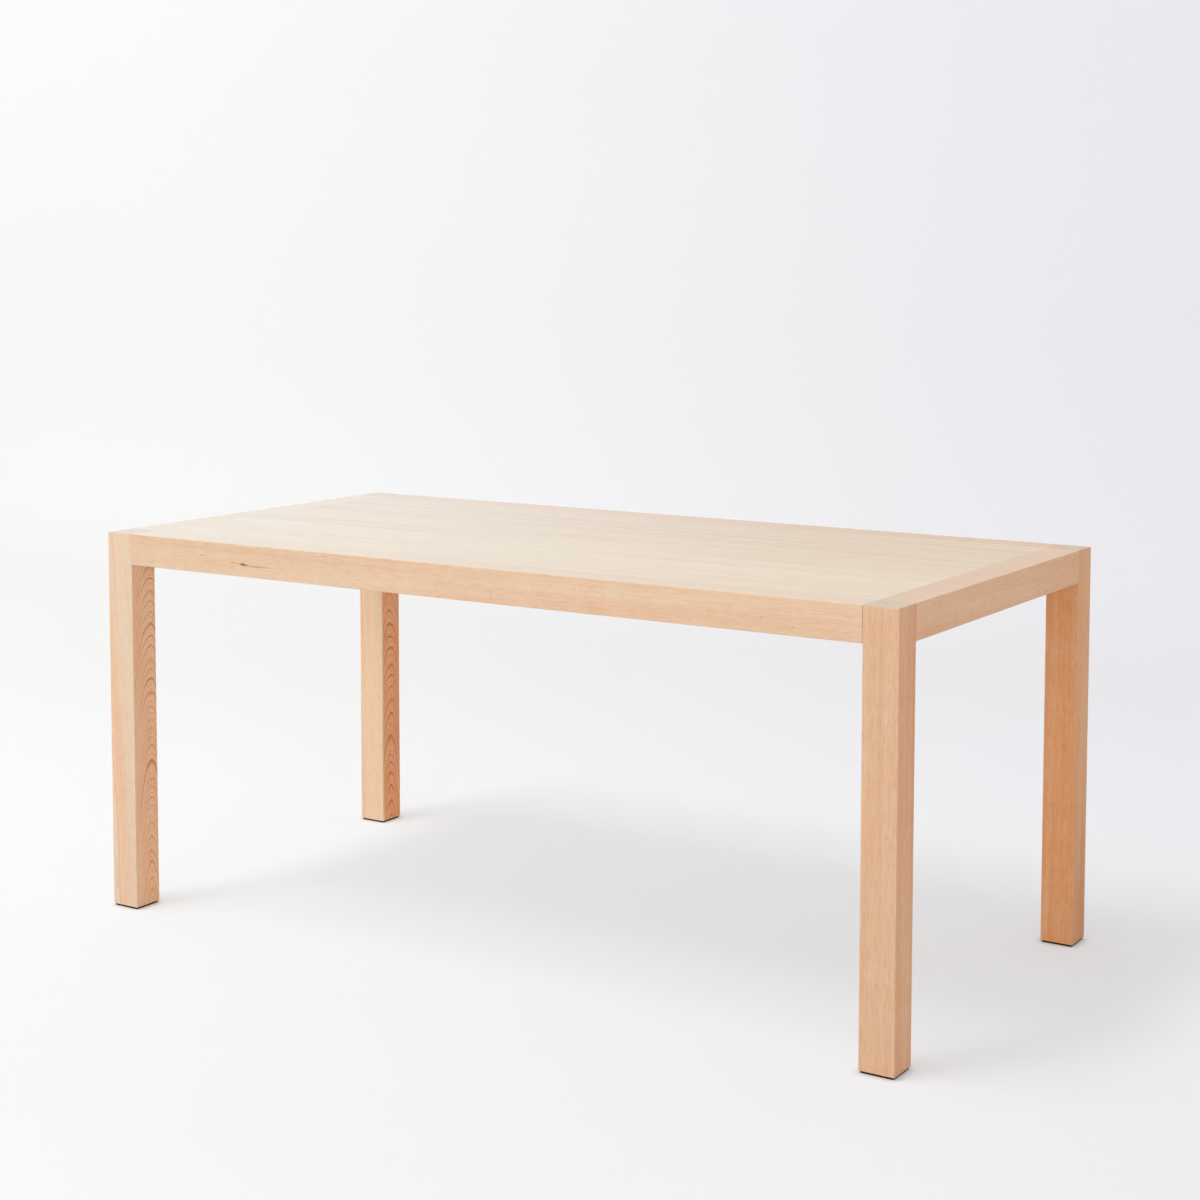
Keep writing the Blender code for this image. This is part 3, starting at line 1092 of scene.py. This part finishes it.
@dataclass
class Panel:
    """The eight boards of the top.

    Attributes:
        finish: the maple of the boards.
        tones: how pale each board is, from the back to the front.
        cuts: where each board's log had its middle, as offsets in Y and Z.
        contrast: how much the boards' rings stand out.
        lean: how far the logs lean, to one side and the other in turn, in degrees.
        turn: how far the log before the first one is turned, in degrees.
        turn_step: what each next log is turned by.
        seed: the seed before the first board's.
        seed_step: what each next board's seed is raised by.
    """

    finish: Maple = Maple(
        pale=linear(247, 233, 207), tan=linear(226, 202, 168), roughness=0.30, gloss=0.02,
        coat=(0.9, 0.18), relief=0.00004, streaks=1.3, dashes=0.55, clouds=0.9, mottle=0.03,
        fibres=0.12, specks=0.13,
    )
    tones: Sequence[float] = (-0.04, -0.05, 0.0, 0.10, 0.12, 0.31, 0.34, 0.30)
    cuts: Sequence[Span] = (
        (0.02, -0.11), (-0.05, 0.08), (0.03, -0.07), (-0.02, 0.12),
        (0.06, -0.09), (-0.03, -0.12), (0.04, 0.10), (-0.05, -0.08),
    )
    contrast: float = 0.35
    lean: float = 0.35
    turn: float = 0.5
    turn_step: float = -0.13
    seed: float = 60.0
    seed_step: float = 7.3

    def dress(self) -> None:
        """Gives every board its grain."""
        for number, (tone, (across, deep)) in enumerate(zip(self.tones, self.cuts), 1):
            lean = (self.lean * (-1) ** number, self.turn + self.turn_step * number)
            seed = self.seed + self.seed_step * number
            pith = (0, across, deep)
            grain = Grain(GrainAxis.LENGTH, pith, lean, tone=tone, contrast=self.contrast, seed=seed)
            coat(f"top_board_{number}", self.finish, grain)


@dataclass
class Underframe:
    """The cleats and bearers under the panel, planed but left without a finish.

    Attributes:
        finish: the maple of the inner pieces.
        bearers: how many bearers cross the table.
        cut: how far the first piece lay from the middle of its log, on both cross axes.
        cut_step: what each next piece lay further out.
        lean: the logs' lean in degrees.
        contrast: how much the pieces' rings stand out.
        seed: the first piece's seed.
        seed_step: what each next piece's seed is raised by.
    """

    finish: Maple = Maple(pale=linear(230, 198, 164), tan=linear(205, 162, 120), roughness=0.62)
    bearers: int = 3
    cut: float = 0.06
    cut_step: float = 0.008
    lean: Span = (0.4, 0.3)
    contrast: float = 0.4
    seed: float = 140.0
    seed_step: float = 6.1

    def dress(self) -> None:
        """Gives every cleat and bearer its grain."""
        along, across = GrainAxis.LENGTH, GrainAxis.WIDTH
        axes = {"front_cleat": along, "back_cleat": along, "right_cleat": across, "left_cleat": across}
        axes.update({f"bearer_{number}": across for number in range(1, self.bearers + 1)})
        for place, (node, axis) in enumerate(axes.items()):
            pith = axis.stretch(0.0, self.cut + self.cut_step * place)
            seed = self.seed + self.seed_step * place
            coat(node, self.finish, Grain(axis, pith, self.lean, contrast=self.contrast, seed=seed))


class Aim(Enum):
    """Which way a screw's head faces."""

    FRONT = (0.0, -1.0, 0.0)
    BACK = (0.0, 1.0, 0.0)
    LEFT = (-1.0, 0.0, 0.0)
    RIGHT = (1.0, 0.0, 0.0)
    DOWN = (0.0, 0.0, -1.0)


@dataclass
class Fasteners:
    """The dome-headed wood screws of the underframe.

    Attributes:
        finish: the plating.
        head_radius: the radius of a head.
        head_height: the height of a head.
        head_sides: how many sides a head has.
        head_rings: how many rings of flats make the ball that a head is pressed from.
        shank_radius: the radius of a shank.
        tip: the length of the point.
        threaded: the part of the straight shank that has a thread.
        pitch: the rise of the thread in one turn.
        turn_steps: how many steps make a turn of the thread.
        ridge_sides: how many sides the thread's ridge has.
        ridge: the radius of the thread's ridge.
        bite: how far the shank reaches up into the head.
        sides: how many sides the shank has.
        wing_width: the width of the cross recess, as a part of the head's radius.
        wing_length: the length of the cross recess, as a part of the head's radius.
        wing_depths: twice the depth of its two wings, as a part of the head's height.
        weld: the distance below which points become one.
        crease: the angle in degrees from which an edge looks sharp.
        seed: the seed of each screw's own turn.
    """

    finish: Zinc = field(default_factory=Zinc)
    head_radius: float = 0.0045
    head_height: float = 0.0026
    head_sides: int = 24
    head_rings: int = 12
    shank_radius: float = 0.0017
    tip: float = 0.006
    threaded: float = 0.62
    pitch: float = 0.0018
    turn_steps: int = 12
    ridge_sides: int = 3
    ridge: float = 0.0003
    bite: float = 0.0003
    sides: int = 16
    wing_width: float = 0.24
    wing_length: float = 1.15
    wing_depths: Span = (1.0, 0.9)
    weld: float = 0.00001
    crease: float = 40.0
    seed: int = 11

    def tree(self) -> Repeater:
        """Builds the tree that sets one screw at each point.

        Returns:
            The tree.
        """
        lengths = (
            "Head Radius", "Head Height", "Shank Radius", "Length", "Tip", "Pitch", "Ridge", "Bite"
        )
        inputs = {label: SocketKind.LENGTH for label in lengths}
        inputs.update({"Seed": SocketKind.COUNT, "Finish": SocketKind.FINISH})
        t = Repeater("screw_at_each_point", inputs)
        parts = [self.head(t), self.shank(t), self.thread(t)]
        screw = t.add("GeometryNodeJoinGeometry", None, {0: parts})
        vector = {"data_type": "FLOAT_VECTOR"}
        aim = t.add("GeometryNodeInputNamedAttribute", vector, {"Name": "aim"})
        spin = t.chance(0.0, math.tau)
        turned = t.add("FunctionNodeEulerToRotation", None, {0: t.point(z=spin)})
        sockets = {"Rotation": turned, "Vector": aim}
        facing = t.add("FunctionNodeAlignRotationToVector", {"axis": "Z"}, sockets)
        points = t.add("GeometryNodeMeshToPoints", None, {"Mesh": t.given("Shape")})
        sockets = {"Points": points, "Instance": screw, "Rotation": facing}
        t.close(t.add("GeometryNodeInstanceOnPoints", None, sockets))
        return t

    def head(self, t: Repeater) -> Value:
        """Makes the domed head with its cross recess, with its seat at the origin.

        Args:
            t: the tree.

        Returns:
            The head.
        """
        radius, height = t.given("Head Radius"), t.given("Head Height")
        steps = {"Segments": self.head_sides, "Rings": self.head_rings, "Radius": 1.0}
        ball = t.add("GeometryNodeMeshUVSphere", None, steps)
        at = t.add("GeometryNodeInputPosition")
        x, y, z = (t.axis(at, letter) for letter in "XYZ")
        dome = t.point(x * radius, y * radius, z.above(0.0) * height)
        head = t.add("GeometryNodeSetPosition", None, {"Geometry": ball, "Position": dome})
        wings = []
        for quarter, depth in enumerate(self.wing_depths):
            size = t.point(radius * self.wing_width, radius * self.wing_length, height * depth)
            wing = t.add("GeometryNodeMeshCube", None, {"Size": size})
            wings.append(t.place(wing, t.point(z=height), (0, 0, quarter * math.pi / 2)))
        cutter = {"Mesh 1": head, "Mesh 2": wings}
        return t.add("GeometryNodeMeshBoolean", {"operation": "DIFFERENCE"}, cutter)

    def shank(self, t: Repeater) -> Value:
        """Makes the shank and its point as one closed surface.

        Args:
            t: the tree.

        Returns:
            The shank, which points down from just inside the head.
        """
        radius, tip, bite = t.given("Shank Radius"), t.given("Tip"), t.given("Bite")
        straight = t.given("Length") - tip
        sizes = {"Vertices": self.sides, "Radius": radius, "Depth": straight + bite}
        rod = t.add("GeometryNodeMeshCylinder", None, sizes)
        foot = Value(t, rod.socket.node.outputs["Bottom"])
        faces = {"domain": "FACE", "mode": "ONLY_FACE"}
        rod = t.add("GeometryNodeDeleteGeometry", faces, {"Geometry": rod, "Selection": foot})
        sizes = {"Vertices": self.sides, "Radius Top": 0.0, "Radius Bottom": radius, "Depth": tip}
        cone = t.add("GeometryNodeMeshCone", {"fill_type": "NONE"}, sizes)
        rod = t.place(rod, t.point(z=(bite - straight) * 0.5))
        cone = t.place(cone, t.point(z=-straight), (math.pi, 0, 0))
        both = t.add("GeometryNodeJoinGeometry", None, {0: [rod, cone]})
        return t.add("GeometryNodeMergeByDistance", None, {"Geometry": both, "Distance": self.weld})

    def thread(self, t: Repeater) -> Value:
        """Winds the thread round the lower part of the shank.

        Args:
            t: the tree.

        Returns:
            The thread.
        """
        radius = t.given("Shank Radius")
        straight = t.given("Length") - t.given("Tip")
        height = straight * self.threaded
        spiral = {
            "Resolution": self.turn_steps, "Rotations": height / t.given("Pitch"),
            "Start Radius": radius, "End Radius": radius, "Height": height,
        }
        path = t.add("GeometryNodeCurveSpiral", None, spiral)
        round_ridge = {"Resolution": self.ridge_sides, "Radius": t.given("Ridge")}
        ridge = t.add("GeometryNodeCurvePrimitiveCircle", None, round_ridge)
        sockets = {"Curve": path, "Profile Curve": ridge, "Fill Caps": True}
        tube = t.add("GeometryNodeCurveToMesh", None, sockets)
        return t.place(tube, t.point(z=-straight))

    def seat(self, node: str, aim: Aim) -> Vector:
        """The middle of the seat under a screw's head.

        Args:
            node: the screw's CAD node.
            aim: which way its head faces.

        Returns:
            The point in the row frame.
        """
        low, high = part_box(node)
        way = Vector(aim.value)
        out = sum(abs(part) * side / 2 for part, side in zip(way, high - low))
        return middle_of(node) + way * (out - self.head_height)

    @staticmethod
    def families() -> Dict[str, Dict[str, Aim]]:
        """The screws of each kind, and which way each one's head faces."""
        cleats = {"front": Aim.BACK, "right": Aim.LEFT, "back": Aim.FRONT, "left": Aim.RIGHT}
        found: Dict[str, Dict[str, Aim]] = {"cleat_screws": {}, "lap_screws": {}, "panel_screws": {}}
        for node in sorted(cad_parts):
            if "_cleat_screw_" in node:
                found["cleat_screws"][node] = cleats[node.split("_")[0]]
            elif node.startswith("panel_screw_"):
                found["panel_screws"][node] = Aim.DOWN
            elif node.endswith("_screw"):
                found["lap_screws"][node] = Aim.DOWN
        return found

    def build(self) -> List[bpy.types.Object]:
        """Makes the screws, one piece for each kind.

        Returns:
            The finished pieces.
        """
        tree, plating = self.tree(), self.finish.material("zinc_plating")
        pieces = []
        for kind, aims in self.families().items():
            start = bpy.data.meshes.new(kind + "_seats")
            start.from_pydata([self.seat(node, aim) for node, aim in aims.items()], [], [])
            ways = start.attributes.new("aim", "FLOAT_VECTOR", "POINT")
            for way, aim in zip(ways.data, aims.values()):
                way.vector = aim.value
            low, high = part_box(next(iter(aims)))
            length = max(high - low) - self.head_height
            sizes = {
                "Head Radius": self.head_radius, "Head Height": self.head_height,
                "Shank Radius": self.shank_radius, "Length": length, "Tip": self.tip,
                "Pitch": self.pitch, "Ridge": self.ridge, "Bite": self.bite, "Seed": self.seed,
                "Finish": plating,
            }
            piece = tree.run(start, kind, sizes)
            piece.data.shade_smooth()
            piece.data.set_sharp_from_angle(angle=math.radians(self.crease))
            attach(piece, "root")
            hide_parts(*aims)
            LOG.info("%s: %d screws", kind, len(aims))
            pieces.append(piece)
        return pieces


@dataclass
class Feet:
    """The felt pads under the legs.

    Attributes:
        finish: the felt.
        corner: the radius of a pad's corners.
        corner_steps: how many flats make a corner.
        side_steps: how many rows of flats make a side.
        bulge: how far the pressed sides stand out.
        fibres: loose fibres to the square metre of felt.
        fibre_length: the length of a loose fibre.
        fibre_radius: the radius of a loose fibre at its root.
        fibre_sides: how many sides a loose fibre has.
        shortest: the shortest fibre, as a part of the longest.
        wild: how far a fibre may turn about each axis, either way, in radians.
        level: from where on a face is too level to have fibres.
        seed: the seed of the fibres.
    """

    finish: Felt = field(default_factory=Felt)
    corner: float = 0.0016
    corner_steps: int = 4
    side_steps: int = 6
    bulge: float = 0.0005
    fibres: float = 900000.0
    fibre_length: float = 0.0008
    fibre_radius: float = 0.00005
    fibre_sides: int = 3
    shortest: float = 0.4
    wild: Triple = (1.2, 1.2, 3.1)
    level: float = 0.9
    seed: int = 5

    def outline(self, size: Vector) -> List[Vector]:
        """Draws the rounded outline of a pad's top and bottom, counterclockwise.

        Args:
            size: the size of the pad's box.

        Returns:
            The outline's points about the pad's middle.
        """
        points = []
        inset = self.bulge + self.corner
        for quarter in range(4):
            diagonal = math.pi / 2 * (quarter + 0.5)
            x = math.copysign(size.x / 2 - inset, math.cos(diagonal))
            y = math.copysign(size.y / 2 - inset, math.sin(diagonal))
            for step in range(self.corner_steps + 1):
                angle = math.pi / 2 * (quarter + step / self.corner_steps)
                arc = Vector((math.cos(angle), math.sin(angle), 0.0))
                points.append(Vector((x, y, 0.0)) + self.corner * arc)
        return points

    def slab(self, node: str) -> bpy.types.Mesh:
        """Makes the pressed slab of one pad.

        Args:
            node: the pad's CAD node.

        Returns:
            A closed mesh with rounded corners and sides that bulge.
        """
        low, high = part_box(node)
        size, middle = high - low, (low + high) / 2
        outline = self.outline(size)
        count, last = len(outline), len(outline) * self.side_steps
        points, faces = [], []
        for level in range(self.side_steps + 1):
            height = size.z * (level / self.side_steps - 0.5)
            swell = self.bulge * math.cos(math.pi * height / size.z)
            for flat in outline:
                out = swell * flat / max(abs(flat.x), abs(flat.y))
                points.append(middle + flat + out + Vector((0.0, 0.0, height)))
        for first in range(0, last, count):
            for place in range(count):
                here, after = first + place, first + (place + 1) % count
                faces.append((here, after, after + count, here + count))
        faces.append(tuple(reversed(range(count))))
        faces.append(tuple(range(last, last + count)))
        mesh = bpy.data.meshes.new(node + "_slab")
        mesh.from_pydata(points, [], faces)
        return mesh

    def tree(self) -> Repeater:
        """Builds the tree that lets loose fibres stand out of the felt.

        Returns:
            The tree.
        """
        inputs = {label: SocketKind.LENGTH for label in ("Fibres", "Fibre Length", "Fibre Radius")}
        inputs.update({"Seed": SocketKind.COUNT, "Finish": SocketKind.FINISH})
        t = Repeater("loose_fibres", inputs)
        side = abs(t.axis(t.add("GeometryNodeInputNormal"), "Z")).below(self.level)
        spread = {
            "Mesh": t.given("Shape"), "Selection": side, "Density": t.given("Fibres"),
            "Seed": t.given("Seed"),
        }
        points = t.add("GeometryNodeDistributePointsOnFaces", None, spread)
        facing = Value(t, points.socket.node.outputs["Rotation"])
        wild = t.chance(tuple(-angle for angle in self.wild), self.wild)
        turned = t.add("FunctionNodeEulerToRotation", None, {0: wild})
        local = {"rotation_space": "LOCAL"}
        bent = t.add("FunctionNodeRotateRotation", local, {0: facing, 1: turned})
        size = t.chance(self.shortest, 1.0)
        fibre = {
            "Vertices": self.fibre_sides, "Radius Top": 0.0, "Radius Bottom": t.given("Fibre Radius"),
            "Depth": t.given("Fibre Length"),
        }
        hair = t.add("GeometryNodeMeshCone", None, fibre)
        scale = t.point(size, size, size)
        sockets = {"Points": points, "Instance": hair, "Rotation": bent, "Scale": scale}
        nap = t.add("GeometryNodeInstanceOnPoints", None, sockets)
        t.close(t.add("GeometryNodeJoinGeometry", None, {0: [t.given("Shape"), nap]}))
        return t

    def build(self) -> List[bpy.types.Object]:
        """Makes the four pads.

        Returns:
            The finished pieces.
        """
        tree, felt = self.tree(), self.finish.material("brown_felt")
        pieces = []
        for number, node in enumerate(sorted(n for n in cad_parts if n.endswith("_pad"))):
            sizes = {
                "Fibres": self.fibres, "Fibre Length": self.fibre_length,
                "Fibre Radius": self.fibre_radius, "Seed": self.seed + number, "Finish": felt,
            }
            piece = tree.run(self.slab(node), node + "_felt", sizes)
            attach(piece, "root")
            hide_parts(node)
            LOG.info("%s: pressed felt", piece.name)
            pieces.append(piece)
        return pieces


@dataclass(frozen=True)
class Softbox:
    """A square studio lamp.

    Attributes:
        name: the lamp's name.
        place: where it hangs.
        target: what it faces.
        size: the side of its face.
        power: its power in watts.
        colour: the colour of its light.
    """

    name: str
    place: Triple
    target: Triple
    size: float
    power: float
    colour: Triple = (1.0, 1.0, 1.0)

    def hang(self) -> bpy.types.Object:
        """Makes the lamp.

        Returns:
            The lamp's object.
        """
        light = bpy.data.lights.new(self.name, "AREA")
        light.shape, light.size = "SQUARE", self.size
        light.energy, light.color = self.power, self.colour
        lamp = bpy.data.objects.new(self.name, light)
        lamp.location = self.place
        way = Vector(self.target) - Vector(self.place)
        lamp.rotation_euler = way.to_track_quat("-Z", "Y").to_euler()
        lamp.visible_camera = False
        bpy.context.scene.collection.objects.link(lamp)
        return lamp


@dataclass
class Studio:
    """The paper sweep, lamps, surrounding light and camera.

    Attributes:
        paper: the finish of the sweep.
        half_width: half the sweep's width.
        reach_front: how far the paper comes forward.
        wall: where the paper's wall stands along Y.
        bend: the radius of the bend between floor and wall.
        bend_steps: how many flats make the bend.
        wall_top: the height of the wall.
        gap: how far the paper lies below the pads.
        window_side: the strength of the light from low down at the front left.
        wall_side: the strength of the light from low down at the back right.
        zenith: the strength of the light from straight above.
        window_way: the level way to the front left.
        window_span: how nearly light comes from that way where it starts to count, and where in full.
        sky_span: how steeply light comes down where the zenith's starts, and where it is all of it.
        cool: the colour of the light from the front left.
        warm: the colour of the light from the back right.
        backdrop: the colour that the camera sees beyond the paper.
        lamps: the studio's lamps.
        sensor: the width of the camera's sensor in millimetres.
        lens: the camera's focal length in millimetres.
        shift: the lens's shift.
        place: where the camera stands.
        heading: the camera's turn from +Y towards -X in degrees.
        pitch: how far the camera looks down in degrees.
    """

    paper: StudioPaper = field(default_factory=StudioPaper)
    half_width: float = 9.0
    reach_front: float = -9.0
    wall: float = 5.0
    bend: float = 2.2
    bend_steps: int = 24
    wall_top: float = 6.0
    gap: float = 0.0002
    window_side: float = 1.50
    wall_side: float = 0.96
    zenith: float = 0.42
    window_way: Triple = (-0.70, -0.714, 0.0)
    window_span: Span = (-0.6, 0.9)
    sky_span: Span = (0.15, 0.75)
    cool: Triple = (0.89, 1.0, 1.12)
    warm: Triple = (1.16, 0.88, 0.68)
    backdrop: Triple = (0.90, 0.90, 0.91)
    lamps: Sequence[Softbox] = (
        Softbox("front_key", (-3.9, -7.4, 14.0), (0.0, 0.0, 0.4), 3.6, 355.0),
        Softbox("high_key", (-3.9, -3.2, 14.0), (0.0, 0.0, 0.4), 3.6, 300.0),
        Softbox("front_fill", (0.4, -4.5, 1.4), (0.0, 0.0, 0.4), 2.2, 17.0, (0.88, 1.0, 1.14)),
        Softbox("left_window", (-3.6, -0.3, 3.6), (0.0, 0.0, 0.6), 3.2, 12.0, (0.92, 1.0, 1.08)),
    )
    sensor: float = 36.0
    lens: float = 65.162
    shift: Span = (0.02, -0.15)
    place: Triple = (2.2486, -3.4851, 1.2974)
    heading: float = 33.12
    pitch: float = 4.379

    def lay_paper(self) -> bpy.types.Object:
        """Lays the floor and bends it up into the wall.

        Returns:
            The sweep.
        """
        profile = [(self.reach_front, 0.0)]
        for step in range(self.bend_steps + 1):
            angle = math.pi / 2 * step / self.bend_steps
            along = self.wall - self.bend + self.bend * math.sin(angle)
            profile.append((along, self.bend * (1 - math.cos(angle))))
        profile.append((self.wall, self.wall_top))
        points = [(x, y, z) for y, z in profile for x in (-self.half_width, self.half_width)]
        faces = [(near, near + 1, near + 3, near + 2) for near in range(0, len(points) - 2, 2)]
        mesh = bpy.data.meshes.new("paper_sweep")
        mesh.from_pydata(points, [], faces)
        mesh.shade_smooth()
        mesh.materials.append(self.paper.material("studio_paper"))
        sweep = bpy.data.objects.new("paper_sweep", mesh)
        sweep.location.z = -self.gap
        bpy.context.scene.collection.objects.link(sweep)
        return sweep

    def light(self) -> None:
        """Hangs the lamps and sets the light from all round."""
        for lamp in self.lamps:
            lamp.hang()
        world = bpy.data.worlds.new("studio")
        world.use_nodes = True
        world.node_tree.nodes.clear()
        w = Graph(world.node_tree)
        way = w.add("ShaderNodeTexCoord", output="Generated")
        window = w.dot(way, self.window_way).ramp(*self.window_span)
        tint = w.mix(window, self.warm, self.cool)
        low = self.wall_side + (self.window_side - self.wall_side) * window
        level = low + (self.zenith - low) * w.axis(way, "Z").ramp(*self.sky_span)
        colour = w.mix(w.seen(), w.vector("MULTIPLY", tint, level), self.backdrop)
        glow = w.add("ShaderNodeBackground", None, {"Color": colour, "Strength": 1.0})
        w.add("ShaderNodeOutputWorld", None, {"Surface": glow})
        bpy.context.scene.world = world

    def stand_camera(self) -> bpy.types.Object:
        """Stands the camera where the photograph was taken from.

        Returns:
            The camera.
        """
        data = bpy.data.cameras.new("camera")
        data.sensor_width, data.lens = self.sensor, self.lens
        data.shift_x, data.shift_y = self.shift
        camera = bpy.data.objects.new("camera", data)
        camera.location = self.place
        camera.rotation_euler = (math.radians(90 - self.pitch), 0.0, math.radians(self.heading))
        bpy.context.scene.collection.objects.link(camera)
        bpy.context.scene.camera = camera
        return camera

    def build(self) -> None:
        """Sets up the whole studio."""
        self.lay_paper()
        self.light()
        self.stand_camera()
        bpy.context.scene.view_settings.view_transform = "Standard"


def main() -> None:
    """Builds the table's sub-assemblies and the studio, in order."""
    logging.basicConfig(level=logging.INFO, format="%(name)s: %(message)s")
    Frame().dress()
    Panel().dress()
    Underframe().dress()
    Fasteners().build()
    Feet().build()
    Studio().build()


if __name__ == "__main__":
    main()
